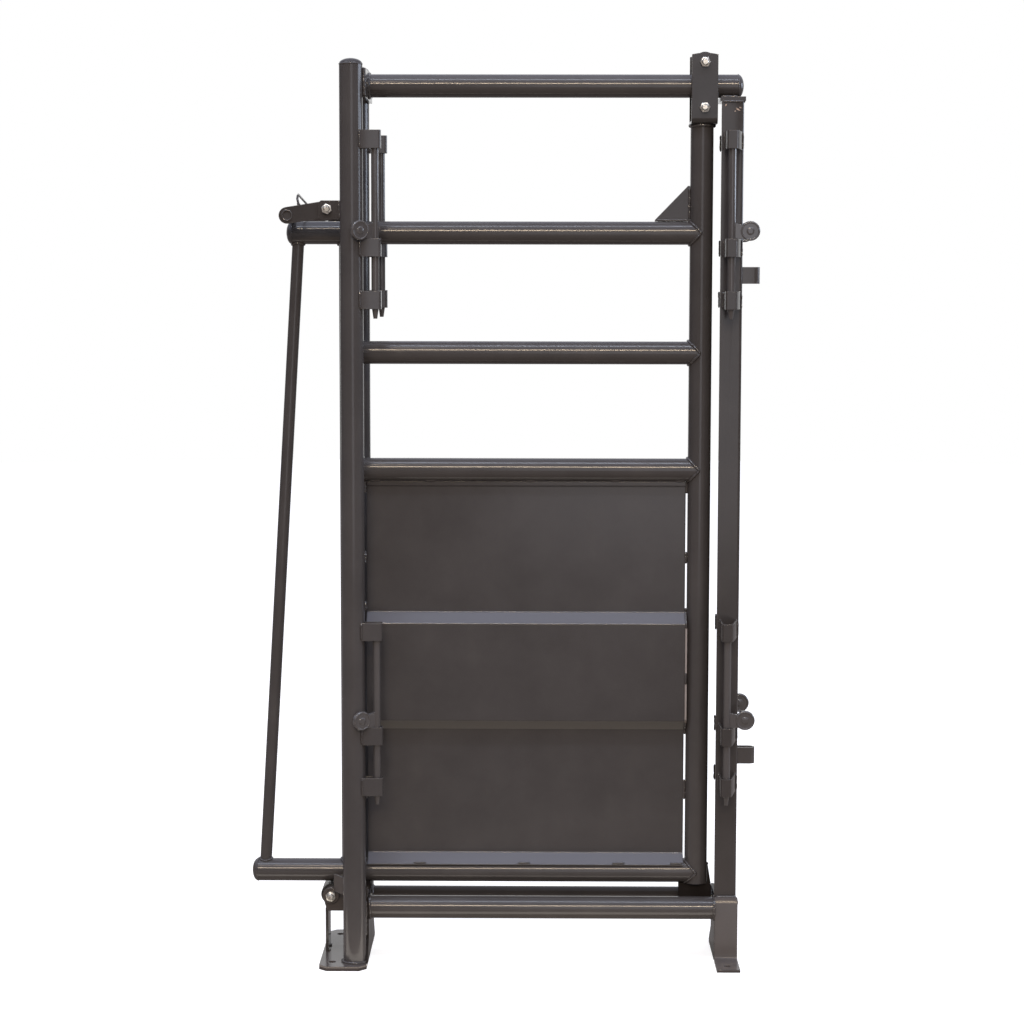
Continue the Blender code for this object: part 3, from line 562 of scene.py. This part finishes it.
posts = {
    "y": 0.1013, "capZ": 1.8858, "capR": pipeR - 0.0006, "capWeld": 0.0015,
    "footZ": 0.0108, "footR": pipeR + 0.0010, "footWeld": 0.0034,
    "railX": 0.0313, "railR": pipeR + 0.0006, "railWeld": 0.0033, "railCapX": 0.8004,
    "tiePlate": {"edge": ([(0.0275, 0.0990, 1.8205), (0.0268, 0.1015, 1.8500),
                           (0.0270, 0.0990, 1.8770)], 0.0036)},
}
runs = [(ringX(posts["railX"], 0, trackZ, posts["railR"]), posts["railWeld"], True)]
for side in bothSides:
    y = side * posts["y"]
    runs += straight(posts["tiePlate"], (side,))
    runs.append((ringZ(0, y, posts["capZ"], posts["capR"]), posts["capWeld"], True))
    runs.append((ringZ(0, y, posts["footZ"], posts["footR"]), posts["footWeld"], True))
runs.append((ringX(posts["railCapX"], 0, trackZ, posts["capR"]), posts["capWeld"], True))
welds("weldsPosts", "fixed_frame", runs)

# The upright's welds: its cap plate and the rail over it, the foot strap, the lugs and the
# ends of the bottom rails
capZ = trackZ - pipeR - 0.0098
upright = {
    "rail": {"side": ([(0.7640, 0.0190, 1.8268), (0.8000, 0.0190, 1.8262)], 0.0027)},
    "capAndFoot": {
        "capFront": ([(0.7650, -0.0505, capZ - 0.0005), (0.8090, -0.0505, capZ - 0.0008)], 0.0024),
        "capSide": ([(0.8098, -0.0470, capZ - 0.0005), (0.8100, 0.0470, capZ - 0.0006)], 0.0024),
        "strapTop": ([(0.7660, -0.0512, 0.1376), (0.8100, -0.0512, 0.1378)], 0.0032),
        "strapLeft": ([(0.7640, -0.0512, 0.1350), (0.7640, -0.0530, 0.1200)], 0.0022),
        "strapRight": ([(0.8118, -0.0512, 0.1350), (0.8118, -0.0530, 0.1200)], 0.0022)},
    "endPlate": {"back": ([(0.7690, 0.0445, 0.0520), (0.7690, 0.0445, 0.1410)], 0.0024)},
    "lugX": 0.8104, "lugZs": (1.4566, 0.4360), "lugWeld": 0.0022,
    "lugLevel": (0.0115, 0.0172), "lugPlumb": (0.0130, 0.0160),  # half widths and half heights
    "railY": 0.0418, "railZ": 0.1116, "railR": pipeR + 0.0004,
    "railEnds": ((0.7628, 0.0028), (0.0292, 0.0030)),  # x and the weld's radius
}
runs = straight(upright["rail"], bothSides) + straight(upright["capAndFoot"])
for z in upright["lugZs"]:
    wide, high = upright["lugLevel"]
    for up in bothSides:
        runs.append(([at(upright["lugX"], side * wide, z + up * high) for side in bothSides],
                     upright["lugWeld"]))
    wide, high = upright["lugPlumb"]
    for side in bothSides:
        runs.append(([at(upright["lugX"], side * wide, z + up * high) for up in bothSides],
                     upright["lugWeld"]))
for side in bothSides:
    for x, radius in upright["railEnds"]:
        ring = ringX(x, side * upright["railY"], upright["railZ"], upright["railR"])
        runs.append((ring, radius, True))
welds("weldsUpright", "fixed_frame", runs + straight(upright["endPlate"]))

footWelds = {
    "plateOnBase": ([(0.0262, 0.0300, 0.0104), (0.0262, 0.1130, 0.0104)], 0.0026),
    "plateOnPost": ([(0.0226, 0.0870, 0.0600), (0.0226, 0.0870, 0.1350)], 0.0030),
    "plateCorner": ([(0.0225, 0.0312, 0.1050), (0.0238, 0.0378, 0.1060),
                     (0.0238, 0.0378, 0.1490)], 0.0024),
    "tabOnBase": ([(-0.0610, 0.0100, 0.0100), (-0.0610, 0.0285, 0.0100)], 0.0028),
    "bracketOnPost": ([(-0.0205, 0.0830, 0.1495), (-0.0205, 0.0830, 0.1815)], 0.0026),
    "bracketUnder": ([(-0.0150, 0.0885, 0.1475), (-0.0240, 0.0800, 0.1475)], 0.0024),
    "bracketFoot": ([(-0.0645, 0.0310, 0.1030), (-0.0600, 0.0310, 0.1030)], 0.0022),
}
welds("weldsFoot", "fixed_frame", straight(footWelds, bothSides))

# Bare metal where the coat has chipped off the upright's top, each a thin uneven flake
chip = {
    "y": -0.0502, "proud": 0.00012, "corners": 11,
    "size": 0.75, "ragged": 0.5, "raggedScale": (900, 700), "raggedStep": 0.9,
    "flakes": (  # middle x and z, width, height and lean
        (0.7717, 1.8069, 0.005, 0.005, 0.6), (0.7965, 1.7979, 0.0112, 0.0046, -0.35),
        (0.8016, 1.8016, 0.0062, 0.0029, -0.3), (0.7908, 1.7946, 0.0046, 0.0025, 0.1)),
}
bm = bmesh.new()
scaleX, scaleZ = chip["raggedScale"]
for x, z, wide, tall, lean in chip["flakes"]:
    rim = []
    for i, t in enumerate(turns(chip["corners"])):
        place = Vector((x * scaleX + i * chip["raggedStep"], z * scaleZ, 3.0))
        uneven = chip["size"] + chip["ragged"] * noise.noise(place)
        across, up = math.cos(t) * wide / 2 * uneven, math.sin(t) * tall / 2 * uneven
        rim.append((x + across, z + up + across * lean))
    skin(bm, [[at(px, chip["y"] - level, pz) for px, pz in rim] for level in (0.0, chip["proud"])])
addPiece("coatChips", bm, "fixed_frame", bare)

# A bead where each strap clip meets the post or the upright
clip = {
    "zs": (1.7333, 1.5129, 1.4051), "drop": 1.0180, "half": 0.0170,
    "seams": ((0.0180, 0.1192, 0.0022), (0.0235, 0.0928, 0.0022),  # x, y and radius
              (0.7688, 0.0508, 0.0021), (0.8074, 0.0508, 0.0021)),
}
welds("weldsClips", "fixed_frame", [
    ([at(x, side * y, z - drop - clip["half"]), at(x, side * y, z - drop + clip["half"])], radius)
    for drop in (0.0, clip["drop"]) for z in clip["zs"] for side in bothSides
    for x, y, radius in clip["seams"]])

latch = {
    "x": -0.0503, "z": 1.5914, "armY": 0.0950, "earY": 0.1013,
    "earX": -0.0246, "earHalf": 0.0036, "earLow": 1.5720, "earHigh": 1.6070, "earWeld": 0.0024,
    "rodX": -0.1331, "rodY": 0.0982, "rodZ": 1.5782, "rodR": 0.0103, "rodWeld": 0.0022,
    "bail": {"front": ([(-0.1125, -0.0950, 1.6019), (-0.1055, -0.0950, 1.6009)], 0.0026),
             "rear": ([(-0.1100, 0.0950, 1.6019), (-0.1020, 0.0950, 1.6009)], 0.0026)},
}
welds("weldsLatchEars", "fixed_frame", [
    ([at(latch["earX"], side * latch["earY"] + face * latch["earHalf"], z)
      for z in (latch["earLow"], latch["earHigh"])], latch["earWeld"])
    for side in bothSides for face in bothSides])
welds("weldsLatch", "lift_latch", [
    (ringY(latch["rodX"], side * latch["rodY"], latch["rodZ"], latch["rodR"]),
     latch["rodWeld"], True) for side in bothSides] + straight(latch["bail"]))
print("frame welds made")


# Knobs on the drop pins: a raised rim and a plain round boss on both faces
knob = {
    "reach": 0.0380, "half": 0.0045, "z": 1.5475, "y": 0.1060, "turn": 36.0,
    "leftX": 0.0490, "frontRightX": 0.7818, "rearRightX": 0.7880,
    "rimSides": 36, "bossSides": 24,
    "rim": ((0.0188, -0.0004), (0.0186, 0.00072), (0.0178, 0.0009), (0.0164, 0.00081),
            (0.0156, -0.0002)),  # radius, and rise above the knob's face
    "boss": ((0.0085, -0.0003), (0.0077, 0.0008), (0.0051, 0.0012)),
}


def knobFace(pin, rodX, rodY, drop, heading):
    bm = bmesh.new()
    out = Vector((math.cos(heading), math.sin(heading), 0))
    flat = Vector((-math.sin(heading), math.cos(heading), 0))
    up = Vector((0, 0, 1))
    centre = at(rodX, rodY, knob["z"] - drop) + out * knob["reach"]
    for side in bothSides:
        for form, looped in (("rim", True), ("boss", False)):
            skin(bm, [[centre + flat * side * (knob["half"] + rise)
                       + (out * math.cos(t) + up * math.sin(t)) * r
                       for t in turns(knob[form + "Sides"])] for r, rise in knob[form]], looped)
    addPiece("knobFace_" + pin, bm, "pin_%s_body" % pin, castCoat, sharp=50.0)


for drop, height in ((0.0, "upper"), (clip["drop"], "lower")):
    for side, word in ((-1, "front"), (1, "rear")):
        y = side * knob["y"]
        heading = math.radians(180 - side * knob["turn"])
        knobFace("%s_left_%s" % (word, height), knob["leftX"], y, drop, heading)
        knobFace("%s_right_%s" % (word, height), knob[word + "RightX"], y, drop, 0.0)
print("knobs made")


# Bolts with chamfered lock nuts and heads, a collar round each thread, and the thread's turns
bolt = {
    "r": 0.00635, "flats": 0.0190, "nut": 0.0109, "head": 0.0079, "tail": 0.0030,
    "hexSides": 48, "chamfer": 0.97, "slope": 0.58,
    "nutHex": 0.82,  # the share of the nut's height that its hexagon takes
    "collar": ((0.0080, 0.0001), (0.0078, 0.0016), (0.0070, 0.0020), (0.00705, 0.0019),
               (0.00665, 0.0006)),  # radius, and rise above the hexagon
    "dish": ((0.36, 0.0), (0.30, 0.0004)),  # share of the flats, and depth below the head's face
    "threadSides": 24, "halfPitch": 0.00065, "threadDepth": 0.0005, "threadInset": 0.001,
    "threadStop": 0.0012, "tip": ((0.0004, 0.0011), (0.0013, 0.0)),  # cut off the radius, and rise
}


def circle(r, depth, count=bolt["hexSides"]):
    return [(r, t, depth) for t in turns(count)]


def hexRings(seat, face, outward):
    # A hexagon from its seat to its outer face, which is chamfered to a circle
    half = bolt["flats"] / 2
    inner = half * bolt["chamfer"]
    corners = [(half / math.cos((t + math.pi / 6) % (math.pi / 3) - math.pi / 6), t)
               for t in turns(bolt["hexSides"])]
    return [[(r, t, seat) for r, t in corners],
            [(r, t, face - outward * (r - inner) * bolt["slope"]) for r, t in corners],
            circle(inner, face)]


def boltPiece(name, node, body, x, y, z, grip, facing=1):
    bm = bmesh.new()
    spin = random.random()
    r, seat = bolt["r"], grip / 2
    hexFace = -seat - bolt["nut"] * bolt["nutHex"]
    nut = hexRings(-seat, hexFace, -1)
    nut += [circle(ring, hexFace - rise) for ring, rise in bolt["collar"]]
    end = -seat - bolt["nut"] - bolt["tail"]
    start, stop = hexFace + bolt["threadInset"], end + bolt["threadStop"]
    shank = [circle(r, seat + bolt["threadInset"], bolt["threadSides"])]
    for level in range(math.ceil((start - stop) / bolt["halfPitch"])):
        cut = bolt["threadDepth"] if level % 2 else 0.0
        shank.append(circle(r - cut, start - level * bolt["halfPitch"], bolt["threadSides"]))
    shank += [circle(r - cut, end + rise, bolt["threadSides"]) for cut, rise in bolt["tip"]]
    face = seat + bolt["head"]
    head = hexRings(seat, face, 1)
    head += [circle(bolt["flats"] * share, face - depth) for share, depth in bolt["dish"]]
    for rings in (nut, shank, head):
        skin(bm, [[at(x + ring * math.cos(t + spin), y + facing * depth,
                      z + ring * math.sin(t + spin)) for ring, t, depth in points]
                  for points in rings])
    piece = addPiece(name, bm, body, zinc, sharp=28.0)
    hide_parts(node)


boltFit = {  # where the rollers' bolts sit, and the thickness that each kind of bolt holds
    "hangerX": 0.7290, "supportX": -0.0550, "rollerR": 0.0220,
    "hangerGrip": 0.0746, "supportGrip": 0.0906, "latchGrip": 0.0129,
}
axle = pipeR + gap + boltFit["rollerR"]
boltPiece("hangerBoltUpper", "hanger_bolt_upper", "sliding_gate", boltFit["hangerX"], 0,
          trackZ + axle, boltFit["hangerGrip"])
boltPiece("hangerBoltLower", "hanger_bolt_lower", "sliding_gate", boltFit["hangerX"], 0,
          trackZ - axle, boltFit["hangerGrip"])
boltPiece("rollerBoltLower", "roller_bolt_lower", "fixed_frame", boltFit["supportX"], 0,
          gate["lowZ"] - axle, boltFit["supportGrip"])
for side, word in ((-1, "Front"), (1, "Rear")):
    boltPiece("latchBolt" + word, "latch_bolt_" + word.lower(), "lift_latch", latch["x"],
              side * (latch["earY"] + latch["armY"]) / 2, latch["z"], boltFit["latchGrip"],
              -side)
print("bolts made")


studio = {
    "floorSeen": (0.55, 0.53, 0.51, 1), "floorBounce": (0.21, 0.17, 0.14, 1),
    "floorGlow": 0.80, "floorShine": 0.16, "floorR": 14.0,
    "room": ((0.20, (0.060, 0.050, 0.042)), (0.50, (0.095, 0.086, 0.082)),
             (0.60, (0.15, 0.145, 0.15)), (0.72, (0.62, 0.66, 0.82)), (1.00, (0.86, 0.92, 1.16))),
    "roomLevel": 0.95, "whiteBehind": (0.66, 0.95),
}
white = (1, 1, 1, 1)


def backgroundRays(net, share):
    # Rays that see the studio's background: the camera's, and a share of those in gloss and glass
    seen = net.make("ShaderNodeLightPath", out=0)
    shine = net.make("ShaderNodeLightPath", out=3)
    through = net.make("ShaderNodeLightPath", out=6)
    return net.make("ShaderNodeMath", {"operation": "MAXIMUM", "use_clamp": True},
                    {0: seen, 1: (shine + through) * share})


def mixShader(net, share, first, second):
    return net.make("ShaderNodeMixShader", {}, {0: share, 1: first, 2: second})


def studioFloor():
    bm = bmesh.new()
    bmesh.ops.create_circle(bm, cap_ends=True, segments=64, radius=studio["floorR"])
    mesh = bpy.data.meshes.new("studioFloor")
    bm.to_mesh(mesh)
    bm.free()
    floor = bpy.data.objects.new("studioFloor", mesh)
    bpy.context.scene.collection.objects.link(floor)
    material = bpy.data.materials.new("studioFloor")
    net = Shader(material)
    seen = net.make("ShaderNodeLightPath", out=0)
    pale = net.make("ShaderNodeBsdfDiffuse", {}, {"Color": studio["floorSeen"]})
    bounce = net.make("ShaderNodeBsdfDiffuse", {}, {"Color": studio["floorBounce"]})
    plain = mixShader(net, seen, bounce, pale)
    glow = net.make("ShaderNodeEmission", {}, {"Color": white, "Strength": studio["floorGlow"]})
    unlit = net.make("ShaderNodeEmission", {}, {"Strength": 0.0})
    lit = mixShader(net, backgroundRays(net, studio["floorShine"]), unlit, glow)
    net.finish(net.make("ShaderNodeAddShader", {}, {0: plain, 1: lit}))
    mesh.materials.append(material)


def studioWorld():
    world = bpy.data.worlds.new("studio")
    bpy.context.scene.world = world
    net = Shader(world)
    direction = net.make("ShaderNodeTexCoord", out=0)
    height = net.make("ShaderNodeSeparateXYZ", {}, {0: direction}, out=2)
    depth = net.make("ShaderNodeSeparateXYZ", {}, {0: direction}, out=1)
    room = net.make("ShaderNodeBackground", {}, {
        "Color": net.ramp(net.span(height, -1.0, 1.0), studio["room"]),
        "Strength": studio["roomLevel"]})
    plain = net.make("ShaderNodeBackground", {}, {"Color": white, "Strength": 1.0})
    behind = net.span(depth, *studio["whiteBehind"])
    net.finish(mixShader(net, backgroundRays(net, behind), room, plain), "ShaderNodeOutputWorld")


studioFloor()
studioWorld()

lamps = {
    "topSoft": {"place": (0.0, -1.6, 6.4), "target": (0, 0, 0.9), "size": (7.0, 5.0),
                "power": 55, "colour": (0.80, 0.86, 1.0)},
    "ceilingStrip": {"place": (0.0, -2.3, 6.4), "target": (0, 0, 1.0), "size": (10.0, 0.40),
                     "power": 150, "colour": (0.80, 0.87, 1.0)},
    "warmStrip": {"place": (0.0, -16.0, 8.3), "target": (0, 0, 1.1), "size": (6.8, 0.80),
                  "power": 880, "colour": (1.0, 0.80, 0.58)},
    "frontPanel": {"place": (1.15, -7.5, 1.6), "target": (0, 0, 1.0), "size": (2.5, 3.2),
                   "power": 30, "colour": (0.90, 0.92, 1.0)},
    "leftStrip": {"place": (-0.93, -4.5, 5.6), "target": (-0.39, 0, 1.55), "size": (0.32, 0.28),
                  "power": 14.5, "colour": (1.0, 0.80, 0.58)},
    "sideWindow": {"place": (5.0, 1.0, 2.3), "target": (0, 1.0, 2.3), "size": (3.6, 1.6),
                   "power": 100, "colour": (0.72, 0.82, 1.0)},
    "floorLine": {"place": (0.0, -0.16, 0.006), "target": (0.0, -0.16, 2.0), "size": (1.5, 0.09),
                  "power": 0.85, "colour": (1.0, 0.93, 0.84)},
}
for name, look in lamps.items():
    light = bpy.data.lights.new(name, "AREA")
    light.shape = "RECTANGLE"
    light.size, light.size_y = look["size"]
    light.energy = look["power"]
    light.color = look["colour"]
    lamp = bpy.data.objects.new(name, light)
    bpy.context.scene.collection.objects.link(lamp)
    lamp.location = look["place"]
    lamp.rotation_mode = "QUATERNION"
    aim = Vector(look["target"]) - Vector(look["place"])
    lamp.rotation_quaternion = aim.to_track_quat("-Z", "Y")
    lamp.visible_camera = False

camera = {
    "place": (0.0638, -5.1366, 1.4606), "pitch": 0.09788, "yaw": -0.00874, "roll": 0.00158,
    "focal": 2432.65, "picture": 1024, "sensor": 36.0,  # focal length and picture in pixels
}
lens = bpy.data.cameras.new("camera")
lens.sensor_width = camera["sensor"]
lens.lens = camera["sensor"] * camera["focal"] / camera["picture"]
viewer = bpy.data.objects.new("camera", lens)
bpy.context.scene.collection.objects.link(viewer)
cosYaw, sinYaw = math.cos(camera["yaw"]), math.sin(camera["yaw"])
cosPitch, sinPitch = math.cos(camera["pitch"]), math.sin(camera["pitch"])
cosRoll, sinRoll = math.cos(camera["roll"]), math.sin(camera["roll"])
ahead = Vector((sinYaw * cosPitch, cosYaw * cosPitch, -sinPitch))
right = Vector((cosYaw, -sinYaw, 0.0))
upward = right.cross(ahead)
right, upward = right * cosRoll + upward * sinRoll, upward * cosRoll - right * sinRoll
turned = Matrix((right, upward, -ahead)).transposed().to_4x4()
viewer.matrix_world = Matrix.Translation(camera["place"]) @ turned
bpy.context.scene.camera = viewer
bpy.context.scene.view_settings.view_transform = "Standard"
print("studio made")
